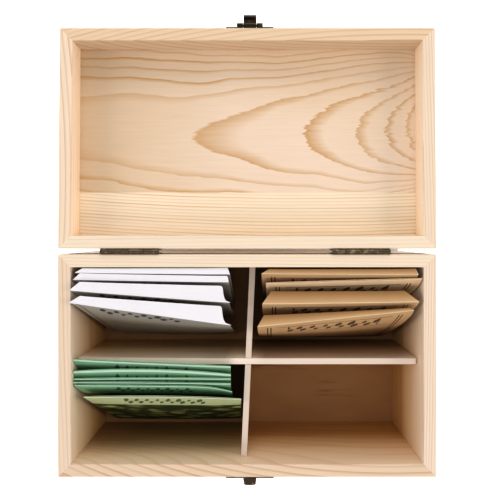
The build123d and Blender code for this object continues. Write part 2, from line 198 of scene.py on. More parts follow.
class Recipe:
    """One material and short ways to add nodes to it."""

    def __init__(self, name):
        self.material = bpy.data.materials.new(name)
        self.material.use_nodes = True
        self.tree = self.material.node_tree
        self.shader = self.tree.nodes["Principled BSDF"]

    def plug(self, socket, value):
        if isinstance(value, bpy.types.NodeSocket):
            self.tree.links.new(value, socket)
        else:
            socket.default_value = value

    def add(self, kind, output=0, settings=None, **inputs):
        node = self.tree.nodes.new(kind)
        for name, value in (settings or {}).items():
            setattr(node, name, value)
        for name, value in inputs.items():
            self.plug(node.inputs[name.replace("_", " ")], value)
        return node.outputs[output]

    def math(self, operation, *values):
        node = self.tree.nodes.new("ShaderNodeMath")
        node.operation = operation
        for socket, value in zip(node.inputs, values):
            self.plug(socket, value)
        return node.outputs[0]

    def chain(self, operation, values):
        """One operation over several values, from the left."""
        result = values[0]
        for value in values[1:]:
            result = self.math(operation, result, value)
        return result

    def total(self, *values):
        return self.chain("ADD", values)

    def times(self, *values):
        return self.chain("MULTIPLY", values)

    def highest(self, *values):
        return self.chain("MAXIMUM", values)

    def chance(self, number):
        """A value from 0 to 1 that is the same for the same whole number."""
        return self.add(
            "ShaderNodeTexWhiteNoise", settings={"noise_dimensions": "1D"}, W=number,
        )

    def mix(self, share, first, second, blend="MIX"):
        node = self.tree.nodes.new("ShaderNodeMix")
        node.data_type = "RGBA"
        node.blend_type = blend
        self.plug(node.inputs[0], share)
        self.plug(node.inputs[6], first)
        self.plug(node.inputs[7], second)
        return node.outputs[2]

    def ramp(self, value, *stops):
        """Grey levels at places along 0 to 1."""
        node = self.tree.nodes.new("ShaderNodeValToRGB")
        elements = node.color_ramp.elements
        while len(elements) < len(stops):
            elements.new(0.5)
        for element, (place, level) in zip(elements, stops):
            element.position = place
            element.color = (level, level, level, 1)
        self.plug(node.inputs[0], value)
        return node.outputs[0]

    def vector(self, operation, *values):
        """Sum, product and so on of vectors or colours."""
        node = self.tree.nodes.new("ShaderNodeVectorMath")
        node.operation = operation
        for socket, value in zip(node.inputs, values):
            self.plug(socket, value)
        return node.outputs[0]

    def shaded(self, tint, amount):
        """A colour made lighter or darker by an amount round 1."""
        grey = self.add("ShaderNodeCombineXYZ", X=amount, Y=amount, Z=amount)
        return self.vector("MULTIPLY", tint, grey)

    def split(self, vector):
        """X, Y and Z of a vector."""
        node = self.tree.nodes.new("ShaderNodeSeparateXYZ")
        self.plug(node.inputs[0], vector)
        return node.outputs

    def noise(self, vector, scale, detail=2.0, stretch=(1, 1, 1), roughness=0.5):
        """Noise from 0 to 1, with features of 1/scale metres, stretched along an axis."""
        stretched = self.vector("MULTIPLY", vector, stretch)
        return self.add(
            "ShaderNodeTexNoise", Vector=stretched, Scale=scale, Detail=detail, Roughness=roughness,
        )

    def swing(self, value, reach):
        """A 0 to 1 value as one from -reach to +reach."""
        return self.math("MULTIPLY_ADD", value, 2 * reach, -reach)

    def bump(self, height, distance, strength):
        return self.add("ShaderNodeBump", Height=height, Distance=distance, Strength=strength)

    def finish(self, base, roughness, normal=None, specular=0.5, metallic=0.0):
        self.plug(self.shader.inputs["Base Color"], base)
        self.plug(self.shader.inputs["Roughness"], roughness)
        self.shader.inputs["Specular IOR Level"].default_value = specular
        self.shader.inputs["Metallic"].default_value = metallic
        if normal is not None:
            self.plug(self.shader.inputs["Normal"], normal)
        return self.material


def dress(material, *names):
    """Give CAD nodes one finish."""
    for name in names:
        piece = nodes[name]
        piece.data.materials.clear()
        piece.data.materials.append(material)


print("recipes can be written")

# %% [markdown]
# ## The white floor
#
# The background of the photograph is bleached to pure white.  More light would bleach
# the box as well, so the floor glows a little by itself.  Under the box and in the gap
# at the hinges it doesn't, because that gap has to stay dark: three comparisons on the
# floor's own coordinates find what lies outside.

# %% Floor finish
FLOOR_GLOW = 0.75
floor_recipe = Recipe("white_sweep")
floor_place = floor_recipe.add("ShaderNodeTexCoord", "Object")
x, y, _ = floor_recipe.split(floor_place)
beside = floor_recipe.math("GREATER_THAN", floor_recipe.math("ABSOLUTE", x), 0.49 * front_length)
behind = floor_recipe.math("GREATER_THAN", y, lid_panel_end_y - FLOOR_MIDDLE_Y)
before = floor_recipe.math("LESS_THAN", y, base_low.y - FLOOR_MIDDLE_Y)
outside = floor_recipe.highest(beside, behind, before)
glow = floor_recipe.times(outside, FLOOR_GLOW)
floor_recipe.plug(floor_recipe.shader.inputs["Emission Color"], (1, 1, 1, 1))
floor_recipe.plug(floor_recipe.shader.inputs["Emission Strength"], glow)
floor.data.materials.append(floor_recipe.finish((0.8, 0.8, 0.8, 1), 0.9, specular=0.0))
print("floor finish", floor_recipe.material.name)

# %% [markdown]
# ## Pine
#
# Pine shows its growth rings as lines: pale early wood that darkens slowly into
# orange late wood and stops at a sharp edge.  Stretched noise gives streaks, but no
# rings that end at an edge.  The rings are cylinders round the heart of the tree, so
# the pattern on a board depends on how the board was cut from the log.  Here each
# board gets a ring count that rises with the distance from a heart line: a board cut
# far from the heart shows straight lines, and one cut across a heart that rises
# towards its face shows arches.  The same count colours every face of the board.

# %% Boards and rings


def board_place(recipe, middle, grain):
    """Coordinates from the middle of a board, with X along its grain."""
    centred = recipe.vector("SUBTRACT", recipe.add("ShaderNodeTexCoord", "Object"), middle)
    turn = 0 if grain == "x" else math.radians(-90)
    return recipe.add("ShaderNodeMapping", Vector=centred, Rotation=(0, 0, turn))


def straight_rings(recipe, place, ring, heart, slope, bend, wobble):
    """Ring count round a heart line that runs nearly along the board, or curves a little."""
    x, y, z = recipe.split(place)
    sway = recipe.swing(recipe.noise(place, 9, stretch=(1, 2.2, 2.2)), wobble)
    run = recipe.times(x, recipe.math("MULTIPLY_ADD", x, bend, slope))
    across = recipe.total(y, run, sway, -heart[0])
    through = recipe.total(z, -heart[1])
    squares = recipe.total(recipe.times(across, across), recipe.times(through, through))
    return recipe.math("DIVIDE", recipe.math("SQRT", squares), ring)


print("boards have rings")

# %% Pine colour


def pine_colour(recipe, place, rings, pale, dark, contrast, start):
    """Early wood that darkens from a start in each ring to a sharp late edge, with fibres."""
    phase = recipe.math("FRACT", rings)
    count = recipe.math("FLOOR", rings)
    late = recipe.ramp(phase, (0, 0), (0.02, 0.0), (start, 0.04), (0.93, 0.8), (0.975, 1), (1, 0.1))
    depth = recipe.math("MULTIPLY_ADD", recipe.chance(count), 0.55, 0.45)
    patchy = recipe.ramp(recipe.noise(place, 22, stretch=(0.5, 1, 1)), (0.3, 0.55), (0.7, 1))
    strength = recipe.times(late, depth, patchy, contrast)
    wood = recipe.mix(strength, pale, dark)
    fibres = recipe.noise(place, 900, detail=3, stretch=(0.03, 1, 1), roughness=0.6)
    clouds = recipe.noise(place, 14, stretch=(0.4, 1, 1))
    shade = recipe.total(recipe.swing(fibres, 0.06), recipe.swing(clouds, 0.05), 1.0)
    relief = recipe.total(recipe.times(late, 0.5), fibres)
    return recipe.shaded(wood, shade), relief


def finish_pine(recipe, wood, relief):
    """Bare planed wood: dull, with the grain just to be felt."""
    normal = recipe.bump(relief, 0.00006, 0.6)
    rough = recipe.math("MULTIPLY_ADD", relief, 0.08, 0.55)
    return recipe.finish(wood, rough, normal, specular=0.3)


print("pine has a colour")

# %% [markdown]
# ## Inner faces, with painted light and shade
#
# Inside the box the same walls look different: the grain is fainter, and the wood goes
# from pale at the rim to a deep warm brown at the floor, with a few darker streaks
# along the grain.  The lamps give only a part of that, and the rest is painted light
# and shade.  Separate pieces of wood could line the box, but the real one has none, so
# the same material is painted instead: lighter just below the rim, darker and warmer
# with its depth below the rim, and only where the object coordinates lie inside the
# middle line of the walls.  The outer faces and the rim keep their own colour.

# %% Inner painted light and shade
# Painted light just below the rim and painted shade deeper down; the streaks grow with the depth
UPPER_PAINTED_LIGHT, DEEP_PAINTED_SHADE = (1.2, 1.21, 1.2, 1), (0.86, 0.65, 0.34, 1)
STREAK_TONE, STREAK_SHARE = (0.72, 0.5, 0.3, 1), 0.7
PLAIN_SHARE = 0.6               # how much of the grain is lost inside
RIM_EDGE = 0.4 * MM             # the eased edge of the rim keeps the outer colour
LID_SAG = math.tan(math.radians(1.1))
# The painted shade is full at the floor of the box, and the lid gets a little of it
BASE_PAINTED_SHADE = (rim_height - floor_top,)               # full tone at the floor of the box
LID_PAINTED_SHADE = (150 * MM, lid_middle_y, lid_reach_y)    # the shallow lid gets a little of it


def paint_inner_light_and_shade(recipe, place, wood, pale, depth, middle_y=0.0, reach_y=None):
    """On the inner faces alone: fainter grain, painted light just below the rim, painted shade
    darker and warmer with depth, and streaked.
    """
    x, y, z = recipe.split(recipe.add("ShaderNodeTexCoord", "Object"))
    sag = recipe.times(recipe.math("MAXIMUM", recipe.total(y, -base_back_y), 0.0), LID_SAG)
    below = recipe.math("SUBTRACT", rim_height, recipe.total(z, sag))
    from_middle = recipe.math("ABSOLUTE", recipe.total(y, -middle_y))
    within = recipe.times(
        recipe.math("LESS_THAN", recipe.math("ABSOLUTE", x), (front_length - wall) / 2),
        recipe.math("LESS_THAN", from_middle, (reach_y or base_back_y) - wall / 2),
        recipe.math("GREATER_THAN", below, RIM_EDGE),
    )
    # How much painted shade: none just below the rim, full at depth
    share = recipe.ramp(recipe.math("DIVIDE", below, depth), (0.03, 0), (0.7, 1))
    grained = recipe.noise(place, 75, detail=2, stretch=(0.1, 1, 1))
    streak = recipe.ramp(grained, (0.5, 0), (0.72, 1))
    # Painted light near the rim, turning to painted shade, darker and warmer, at depth
    tone = recipe.mix(share, UPPER_PAINTED_LIGHT, DEEP_PAINTED_SHADE)
    streaked = recipe.mix(recipe.times(streak, share, STREAK_SHARE), tone, STREAK_TONE)
    plainer = recipe.mix(PLAIN_SHARE, wood, pale)
    return recipe.mix(within, wood, recipe.mix(1.0, plainer, streaked, "MULTIPLY"))


print(f"full tone {BASE_PAINTED_SHADE[0] / MM:.1f} mm below the rim")

# %% Strips


def strip_pine(
    name, middle, grain, ring, heart, pale, dark, slope=0.0, bend=0.0, wobble=0.8 * MM,
    contrast=0.5, painted_shade=None, left_painted_light=None,
):
    """Straight-grained wood, with painted light and shade where it lines the box and painted light
    at the left if asked.
    """
    recipe = Recipe(name)
    place = board_place(recipe, middle, grain)
    rings = straight_rings(recipe, place, ring, heart, slope, bend, wobble)
    early = colour(*pale)
    # Painted light: the long divider's left half is drawn paler than its wood
    if left_painted_light:
        along = recipe.math("DIVIDE", recipe.split(place)[0], front_length)
        painted_left_share = recipe.ramp(recipe.total(along, 0.5), (0.35, 1), (0.55, 0))
        early = recipe.mix(painted_left_share, early, colour(*left_painted_light))
    wood, relief = pine_colour(recipe, place, rings, early, colour(*dark), contrast, start=0.6)
    if painted_shade:
        wood = paint_inner_light_and_shade(recipe, place, wood, early, *painted_shade)
    return finish_pine(recipe, wood, relief)


def middle_of(name):
    low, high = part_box(name)
    return tuple((low + high) / 2)


print("strips can be cut")

# %% [markdown]
# ## The walls
#
# Eight strips, mitred at the corners.  The mitres need no line drawn on them: they
# show because the grain turns there.  One pine material on all eight would be quicker,
# but then the same rings would run on round the corners, as on no real box.  So each
# strip gets its own cut: grain along its length, its own ring width, and a heart line
# some centimetres outside it, in another direction for each, so that the rings meet
# the rim at different slants.  The front of the base is cut coarsest and bends most.

# %% Walls
wall_cuts = {
    # node: (grain, ring and heart in mm, slope, bend, contrast, pale, dark)
    "base_front_wall": ("x", 4.8, (-44, 46), 0.187, -0.89, 1.0, (229, 201, 172), (192, 124, 66)),
    "base_back_wall": ("x", 2.4, (60, 40), 0.012, 0, 0.6, (245, 222, 195), (210, 164, 122)),
    "base_left_wall": ("y", 2.6, (-46, 66), -0.03, 0.1, 0.8, (235, 209, 183), (198, 150, 108)),
    "base_right_wall": ("y", 1.9, (60, 50), 0.015, 0, 0.9, (241, 217, 193), (196, 150, 110)),
    "lid_front_wall": ("x", 3.4, (-40, 30), -0.14, 0.6, 0.85, (234, 203, 168), (190, 134, 90)),
    "lid_back_wall": ("x", 2.7, (52, 34), -0.012, 0, 0.6, (246, 224, 197), (212, 170, 130)),
    "lid_left_wall": ("y", 2.9, (-40, 44), -0.06, -0.6, 0.95, (245, 218, 190), (196, 146, 108)),
    "lid_right_wall": ("y", 1.9, (60, 40), -0.015, 0, 1.0, (243, 218, 191), (196, 150, 112)),
}
for name, (grain, ring, heart, slope, bend, contrast, pale, dark) in wall_cuts.items():
    # Base walls get the full painted shade, lid walls a little of it
    painted_shade = BASE_PAINTED_SHADE if name.startswith("base") else LID_PAINTED_SHADE
    if name == "lid_front_wall":    # its inner face lies in its own shade already
        painted_shade = None
    across, through = heart
    material = strip_pine(
        name + "_pine", middle_of(name), grain, ring * MM, (across * MM, through * MM),
        pale, dark, slope=slope, bend=bend, contrast=contrast, painted_shade=painted_shade,
    )
    dress(material, name)
print(len(wall_cuts), "walls in pine")

# %% [markdown]
# ## The lid's two boards
#
# The lid panel is two boards glued edge to edge.  The narrow one at the hinges is cut
# so that its rings run straight.  The wide one is flat-sawn from a log whose heart
# comes up towards the face at its right end: there the rings close into arches that
# point to the left and stand closer and closer together.
#
# A stretched wave texture would give stripes but no arches, and arches drawn one by
# one would look drawn.  A ring count falls out of the cut itself: it rises with the
# distance from the axis of the arches and falls as the heart comes up.  The fibres run
# past the edge of a ring and make its tip ragged, so a fine noise moves the pattern
# along the grain only.  The left end is painted darker than the rest of the board, as
# painted shade.

# %% Arched rings
PALE_PANEL, PALEST_PANEL, DARK_PANEL = (233, 201, 167), (240, 212, 186), (186, 125, 48)
# Painted shade: the left end of the wide board is drawn darker
PAINTED_SHADE_LEFT_PANEL = (215, 183, 147)    # the shade at the left end
PAINTED_SHADE_REACH = 0.45               # how far it reaches, in board lengths

ARCH_AXIS_Y = 176.0 * MM        # the line that the arches are centred on, at both ends
ARCH_SAG = 8.3 * MM             # how far it sags in between
ARCH_SPREAD = 29.1 * MM         # one more ring at this distance from the axis
ARCH_START_X = -125.5 * MM      # the left end of the visible board
ARCH_LENGTH = 252.5 * MM
ARCH_END = 1.25                 # in board lengths, where the heart would break the face
ARCH_RISE = 1.6                 # how fast the heart comes up
ARCH_TAPER = 0.66               # how much the arches close in towards the right end
ARCH_BLUNTNESS = 2.3            # 2 gives parabolas, more gives rounder tips
ARCH_COUNT = 12.46              # sets where along the board the first arch stands
RAGGED, DRIFT, RIPPLE = 8 * MM, 7 * MM, 1.8 * MM    # how far three noises push the rings


def arched_rings(recipe, place):
    """Ring count on a flat-sawn board whose heart rises towards the right."""
    x, y, _ = recipe.split(place)
    fibres = recipe.noise(place, 420, detail=4, stretch=(0.05, 1, 1), roughness=0.7)
    ragged = recipe.swing(fibres, RAGGED)
    drift = recipe.swing(recipe.noise(place, 13, detail=1, stretch=(1, 1.6, 1)), DRIFT)
    ripple = recipe.swing(recipe.noise(place, 60, detail=2, stretch=(0.6, 1, 1)), RIPPLE)
    along = recipe.math("DIVIDE", recipe.total(x, ragged, -ARCH_START_X), ARCH_LENGTH)
    ahead = recipe.math("MAXIMUM", recipe.math("SUBTRACT", ARCH_END, along), 0.08)
    rise = recipe.total(recipe.math("DIVIDE", ARCH_RISE, ahead), -ARCH_RISE / ARCH_END)
    sag = recipe.times(recipe.math("SINE", recipe.times(along, math.pi)), ARCH_SAG)
    off_axis = recipe.total(y, drift, ripple, sag, -ARCH_AXIS_Y)
    across = recipe.math("DIVIDE", off_axis, ARCH_SPREAD)
    opened = recipe.math("POWER", recipe.math("ABSOLUTE", across), ARCH_BLUNTNESS)
    narrowing = recipe.math("POWER", recipe.math("MAXIMUM", along, 0.0), 4.0)
    squeeze = recipe.math("SUBTRACT", 1.19, recipe.times(narrowing, 1.1 * ARCH_TAPER))
    return recipe.total(
        recipe.math("DIVIDE", opened, squeeze), recipe.times(rise, -1), ARCH_COUNT,
    )


print(f"arches over {ARCH_LENGTH / MM:.1f} mm of board")

# %% Lid boards
arch_board = Recipe("lid_panel_arched_pine")
place = board_place(arch_board, (0, 0, 0), "x")
rings = arched_rings(arch_board, place)
clouds = arch_board.noise(place, 9, stretch=(0.5, 1, 1))
cloudy = arch_board.ramp(clouds, (0.4, 0), (0.65, 1))
pale = arch_board.mix(cloudy, colour(*PALE_PANEL), colour(*PALEST_PANEL))
from_left = arch_board.total(arch_board.split(place)[0], -ARCH_START_X)
along = arch_board.math("DIVIDE", from_left, ARCH_LENGTH)
# Painted shade over the left end of the board
painted_left_share = arch_board.ramp(along, (0, 1), (PAINTED_SHADE_REACH, 0))
pale = arch_board.mix(painted_left_share, pale, colour(*PAINTED_SHADE_LEFT_PANEL))
wood, relief = pine_colour(
    arch_board, place, rings, pale, colour(*DARK_PANEL), 1.0, start=0.68,
)
dress(finish_pine(arch_board, wood, relief), "lid_panel_front_board")

hinge_board = strip_pine(
    "lid_panel_straight_pine", middle_of("lid_panel_hinge_board"), "x", 2.5 * MM,
    (-150 * MM, 10 * MM), (252, 228, 197), (196, 140, 86), slope=0.02, bend=-0.25,
    wobble=1.2 * MM, contrast=1.0,
)
dress(hinge_board, "lid_panel_hinge_board")
print("lid boards in pine")

# %% [markdown]
# ## Bottom and dividers
#
# The bottom lies in deep shade, and little of it shows beside the stacks: brown, with
# wide, soft streaks in a few places.  Streaks all over would read as stripes, so a
# second noise keeps them to some patches.  The dividers are thin plywood.  From above
# little more than their cut edge shows, and it is pinker than the walls.  The long one
# is paler in its left half, and that is painted light: a lamp to light it there past
# the stacks beside it would be seen on the paper too, so the light is painted into the
# wood's colour.  One picture can't say whether that is the wood or light from the
# stacks beside it, and a lamp for it would be seen on the paper too, so here the
# colour is in the wood.

# %% Bottom
bottom = Recipe("bottom_plywood")
place = board_place(bottom, middle_of("base_bottom_panel"), "x")
cloud = bottom.noise(place, 30, detail=3, stretch=(0.5, 1, 1), roughness=0.6)
lines = bottom.noise(place, 160, detail=3, stretch=(0.08, 1, 1))
streak = bottom.ramp(lines, (0.6, 0), (0.72, 1))
areas = bottom.noise(place, 26, detail=1, stretch=(0.7, 1, 1))
sparse = bottom.ramp(areas, (0.55, 0), (0.68, 1))
ply = bottom.mix(cloud, colour(170, 118, 70), colour(208, 158, 104))
ply = bottom.mix(bottom.times(streak, sparse, 0.6), ply, colour(120, 66, 34))
dress(finish_pine(bottom, ply, cloud), "base_bottom_panel")
print("bottom in plywood")

# %% Dividers
dividers = {
    # node: (grain, pale, painted light at the left)
    "long_divider": ("x", (222, 205, 196), (262, 248, 234)),
    "short_divider": ("y", (206, 190, 180), None),
}
for name, (grain, pale, left_painted_light) in dividers.items():
    material = strip_pine(
        name + "_plywood", middle_of(name), grain, 1.5 * MM, (3 * MM, 300 * MM),
        pale, (186, 150, 130), wobble=0.5 * MM, contrast=0.4, painted_shade=BASE_PAINTED_SHADE,
        left_painted_light=left_painted_light,
    )
    dress(material, name)
print(len(dividers), "dividers in plywood")

# %% [markdown]
# ## Bronzed steel
#
# The hinges and the latch are thin steel with an antique bronze plating: nearly black
# brown, rubbed to a lighter bronze in patches.  A single dark metal would do from far
# away, but it looks like paint.  Two noises of different size keep it from that, one
# for the rubbed patches and one for fine mottling.  The hinges show lighter than the
# latch, so there are two finishes.

# %% Hardware


def bronzed_steel(name, dark, rubbed, share):
    """Plated steel, rubbed through over about a share of its face."""
    recipe = Recipe(name)
    place = recipe.add("ShaderNodeTexCoord", "Object")
    patches = recipe.noise(place, 260, detail=4, roughness=0.65)
    specks = recipe.noise(place, 1500, detail=2)
    mottled = recipe.total(recipe.times(patches, 0.8), recipe.times(specks, 0.2))
    worn = recipe.ramp(mottled, (0.62 - share, 0), (0.72 - share * 0.5, 1))
    base = recipe.mix(worn, dark, rubbed)
    rough = recipe.math("MULTIPLY_ADD", specks, 0.25, 0.3)
    normal = recipe.bump(recipe.total(patches, specks), 0.00008, 0.5)
    return recipe.finish(base, rough, normal, specular=0.5, metallic=0.85)


hinge_bronze = bronzed_steel("hinge_bronze", colour(86, 72, 54), colour(164, 146, 118), 0.12)
latch_bronze = bronzed_steel("latch_bronze", colour(40, 32, 23), colour(118, 101, 80), 0.06)
hinge_nodes = [name for name in nodes if name.startswith(("left_hinge_", "right_hinge_"))]
latch_nodes = ["hasp_plate", "hasp_pin", "hasp_tongue", "hasp_nails", "catch_plate", "catch_nails"]
dress(hinge_bronze, *hinge_nodes, "base_hinge_nails", "lid_hinge_nails")
dress(latch_bronze, *latch_nodes)
print(len(hinge_nodes) + 2, "hinge pieces and", len(latch_nodes), "latch pieces in bronze")

# %% [markdown]
# ## Paper
#
# Every packet is one sheet of paper: a back, a front, and on some a flap that stands
# open.  It is drawn flat first, as a die-cut blank is, and then folded.  The blank's
# own flat coordinates are kept as the UV map, in decimetres from the middle of the top
# edge, so a printed rule can be given by how far it lies below the fold.
#
# The prints are made by the same few helpers: a ruled line, a band between two values,
# and a vine of pointed leaves.  White packets get a vine in black.  Kraft packets get
# rules and a vine in brown, painted shade that makes them warmer and darker over the
# flap and towards the foot, and a painted highlight along the fold.  Green packets have
# a header with a vine above a picture of pods, drawn with cells of a Voronoi texture
# that are turned and bent, and a painted highlight along the fold.  An image would be
# the usual way to print on paper, but these stay sharp at any size.

# %% Helpers for prints
PRINT_SCALE = 100 * MM          # length of one unit of the UV map


def paper_place(recipe):
    """Across and below-the-fold, in metres, on the flat blank."""
    across, below, _ = recipe.split(recipe.add("ShaderNodeTexCoord", "UV"))
    return recipe.times(across, PRINT_SCALE), recipe.times(below, PRINT_SCALE)


def line_at(recipe, value, place, thickness):
    """1 on a printed rule, 0 elsewhere."""
    return recipe.math("COMPARE", value, place, thickness / 2)


def between(recipe, value, low, high):
    """1 in a band, 0 elsewhere."""
    over = recipe.math("GREATER_THAN", value, low)
    under = recipe.math("LESS_THAN", value, high)
    return recipe.times(over, under)


def vine(recipe, across, below, place, reach, pitch, height):
    """A thin waving stem with pointed, slanted leaves above and below it in turn."""
    away = recipe.total(below, -place)
    turns = recipe.math("DIVIDE", recipe.total(across, recipe.times(away, 0.35)), pitch)
    number = recipe.math("FLOOR", turns)
    cell = recipe.times(recipe.total(recipe.math("FRACT", turns), -0.5), pitch)
    side = recipe.math("MULTIPLY_ADD", recipe.math("FLOORED_MODULO", number, 2), 2, -1)
    grown = recipe.math("MULTIPLY_ADD", recipe.chance(number), 0.5, 0.6)
    from_middle = recipe.total(recipe.times(away, side), -height * 0.24)
    tall = recipe.math("DIVIDE", from_middle, recipe.times(grown, height * 0.36))
    half_width = recipe.times(grown, pitch * 0.52)
    wide = recipe.math("DIVIDE", recipe.math("ABSOLUTE", cell), half_width)
    leaf = recipe.math("LESS_THAN", recipe.total(recipe.times(tall, tall), wide), 1)
    wave = recipe.math("SINE", recipe.times(across, math.pi / pitch))
    swaying = recipe.total(away, recipe.times(wave, height * 0.08))
    stem = line_at(recipe, swaying, 0, 0.5 * MM)
    return recipe.times(recipe.highest(leaf, stem), between(recipe, across, -reach, reach))


def finish_paper(recipe, base, grain=0.03, roughness=0.75):
    """Paper, dull unless it is coated, with faint fibre and a trace of cockling."""
    place = recipe.add("ShaderNodeTexCoord", "Object")
    fibre = recipe.noise(place, 1800, detail=3)
    cockle = recipe.noise(place, 45, detail=2)
    shade = recipe.total(recipe.swing(fibre, grain), recipe.swing(cockle, grain), 1.0)
    normal = recipe.bump(recipe.total(fibre, recipe.times(cockle, 4)), 0.00005, 0.5)
    return recipe.finish(recipe.shaded(base, shade), roughness, normal, specular=0.25)


print("one unit of print is", PRINT_SCALE / MM, "mm")

# %% White paper


def white_paper():
    """A grey front with a vine in black and one rule along its left edge."""
    recipe = Recipe("white_packet_paper")
    across, below = paper_place(recipe)
    front = between(recipe, below, 0.8 * MM, 74 * MM)
    printed = recipe.mix(front, colour(240, 236, 240), colour(168, 160, 148))
    edge_rule = recipe.times(front, line_at(recipe, across, -51 * MM, 0.9 * MM))
    from_left = recipe.total(across, 10 * MM)
    leaves = vine(recipe, from_left, below, 10 * MM, 30 * MM, 5.0 * MM, 12 * MM)
    ink = recipe.highest(edge_rule, recipe.times(front, leaves))
    return finish_paper(recipe, recipe.mix(recipe.times(ink, 0.9), printed, colour(48, 50, 46)))


white_finish = white_paper()
print(white_finish.name)

# %% Kraft paper
FLAP_BLANK = 10.0 * MM          # height of a flap on the flat blank
KRAFT_HEIGHT = 79.4 * MM        # from the fold to the foot of a kraft packet


def kraft_paper(name, paper):
    """Brown paper with rules and a vine, painted shade over the flap and towards the foot, and a
    painted highlight along the fold.
    """
    recipe = Recipe(name)
    across, below = paper_place(recipe)
    side = recipe.math("ABSOLUTE", across)
    front = between(recipe, below, 1.0 * MM, 72 * MM)
    upright = between(recipe, below, 3 * MM, 70 * MM)
    level = between(recipe, side, 0, 42 * MM)
    outer, inner = (line_at(recipe, side, x * MM, 0.9 * MM) for x in (46.5, 48.9))
    upper, lower = (line_at(recipe, below, y * MM, 0.5 * MM) for y in (4.2, 19))
    leaves = vine(recipe, across, below, 11.5 * MM, 34 * MM, 4.8 * MM, 11 * MM)
    ink = recipe.times(front, recipe.highest(
        recipe.times(recipe.highest(outer, inner), upright), leaves,
        recipe.times(upper, level), recipe.times(lower, level),
    ))
    # Painted shade: warmer and darker over the flap and towards the foot
    flap = recipe.ramp(recipe.math("DIVIDE", below, -FLAP_BLANK), (0.1, 0), (1, 1))
    from_top = recipe.math("PINGPONG", below, KRAFT_HEIGHT)     # on the front and the back
    foot = recipe.ramp(recipe.math("DIVIDE", from_top, KRAFT_HEIGHT), (0.18, 0), (0.8, 0.75))
    paper = recipe.mix(recipe.highest(flap, foot), paper, colour(135, 93, 50))
    # Painted highlight: a pale line along the fold
    fold = recipe.times(between(recipe, below, -0.5 * MM, 0.5 * MM), 0.7)
    paper = recipe.mix(fold, paper, colour(244, 218, 184))
    printed = recipe.mix(recipe.times(ink, 0.85), paper, colour(52, 28, 14))
    return finish_paper(recipe, printed, 0.05)


kraft_finish = kraft_paper("kraft_packet_paper", colour(200, 157, 110))
# Painted light: a paler kraft for kraft_packet_2, whose front stands in shade between its
# neighbours
painted_light_kraft_finish = kraft_paper("painted_light_kraft_packet_paper", colour(234, 196, 150))
print(kraft_finish.name, "and", painted_light_kraft_finish.name)

# %% Green paper


def pod_picture(recipe):
    """Pale pods on dark leaves, all slanted one way and bent a little."""
    uv = recipe.add("ShaderNodeTexCoord", "UV")
    waves = recipe.add("ShaderNodeTexNoise", 1, Vector=uv, Scale=8.0)
    bent = recipe.vector("ADD", uv, recipe.vector("MULTIPLY", waves, (0.09, 0.09, 0)))
    slanted = recipe.add(
        "ShaderNodeMapping", Vector=bent, Rotation=(0, 0, 0.6), Scale=(6.5, 14.0, 1.0),
    )
    from_middle = recipe.add("ShaderNodeTexVoronoi", 0, Vector=slanted, Scale=1.0)
    cell = recipe.add("ShaderNodeTexVoronoi", 1, Vector=slanted, Scale=1.0)
    pods = recipe.ramp(from_middle, (0.1, 1), (0.4, 0.62), (0.5, 0.12), (0.75, 0))
    ripeness = recipe.ramp(cell, (0.2, 0.35), (0.8, 1))
    return recipe.mix(recipe.times(pods, ripeness), colour(40, 52, 26), colour(206, 222, 132))


def green_paper(name, ink, header, edge, picture_from, place, pitch, height):
    """A coloured header with a vine of a place, pitch and height, over a picture of pods, and a
    painted highlight along the fold.
    """
    recipe = Recipe(name)
    across, below = paper_place(recipe)
    picture = between(recipe, below, picture_from, 80 * MM)
    printed = recipe.mix(picture, header, pod_picture(recipe))
    leaves = vine(recipe, across, below, place, 30 * MM, pitch, height)
    leaves = recipe.times(leaves, between(recipe, below, 0, 60 * MM))
    inked = recipe.mix(recipe.times(leaves, 0.8), printed, ink)
    # Painted highlight: a pale line along the fold, in the edge colour
    fold = between(recipe, below, -2 * MM, 0.9 * MM)
    return finish_paper(recipe, recipe.mix(fold, inked, edge), 0.04, 0.5)


green_finish = green_paper(
    "green_packet_paper", colour(24, 60, 36), colour(122, 174, 132), colour(204, 234, 208),
    16 * MM, 6.2 * MM, 3.6 * MM, 7.5 * MM,
)
olive_finish = green_paper(
    "olive_packet_paper", colour(40, 52, 24), colour(194, 206, 152), colour(240, 250, 230),
    18 * MM, 9.4 * MM, 3.9 * MM, 10 * MM,
)
print(green_finish.name, "and", olive_finish.name)

# %% [markdown]
# ## The shape of a packet
#
# A filled packet stands with its foot square on the floor of the box and leans back
# against the one behind.  Its top is turned a little, so the paper twists evenly from
# foot to top.  The seeds swell the lower half like a small cushion, and nothing swells
# at the glued sides.  Some tops bow or curl, some flaps stand open with one corner
# round, and two white packets widen a little towards the top.
#
# A cloth simulation could find all this, but stiff paper hardly stretches, and it
# would have to be steered until each packet stood where it does in the photograph.
# Here each packet says in a row of numbers how it stands, and the folding obeys.

# %% Sizes of the packets
PAPER = 0.25 * MM
SEAM = 1.0 * MM                 # front to back where a packet is empty
WHITE, KRAFT, GREEN = 111.5 * MM, 112.4 * MM, 114.3 * MM    # widths
FOOT_NARROWING = 6.0 * MM       # the filled foot is narrower than the top
BELLY_SHARE = 0.34              # how high the seeds swell a packet most
BELLY_RISE, BELLY_FALL = 0.7, 1.36      # together they put the most at BELLY_SHARE
FLARE_FROM, CURL_FROM = 0.9, 0.55       # shares of the height and of the half width
FLAP_DROOP = math.radians(10)
BACK_SHORTER = 0.985            # the back ends just short of the fold with an open flap
COLUMNS, ROWS, FLAP_ROWS = 30, 26, 8


